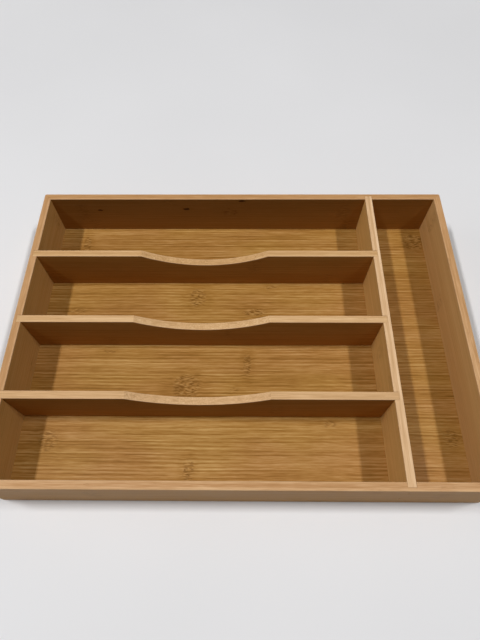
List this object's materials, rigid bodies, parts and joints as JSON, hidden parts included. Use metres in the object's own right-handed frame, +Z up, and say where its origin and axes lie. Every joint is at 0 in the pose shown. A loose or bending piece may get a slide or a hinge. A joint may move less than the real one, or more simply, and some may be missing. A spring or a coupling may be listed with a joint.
{
  "type": "cutlery tray",
  "caption": "Bamboo cutlery tray with lengthwise rows and one side compartment; its cross dividers have curved finger scoops.",
  "frame": {"origin": "middle of the tray's footprint, on the surface that it stands on", "axes": "+X along the long side towards the side compartment, +Y towards the back wall, +Z up"},
  "size_m": [0.355, 0.255, 0.05],
  "materials": {
    "wall_bamboo": "satin clear-lacquered caramel bamboo, long grain",
    "panel_bamboo": "satin clear-lacquered bamboo, grain along X",
    "divider_bamboo": "satin clear-lacquered bamboo with sanded edges",
    "brad_steel": "plain bright steel"
  },
  "bodies": {
    "root": {"front_wall": "wall_bamboo", "back_wall": "wall_bamboo", "left_wall": "wall_bamboo", "right_wall": "wall_bamboo", "base_panel": "panel_bamboo", "long_divider": "divider_bamboo", "front_cross_divider": "divider_bamboo", "middle_cross_divider": "divider_bamboo", "back_cross_divider": "divider_bamboo", "corner_brads": "brad_steel", "divider_brads": "brad_steel"}
  },
  "joints": []
}
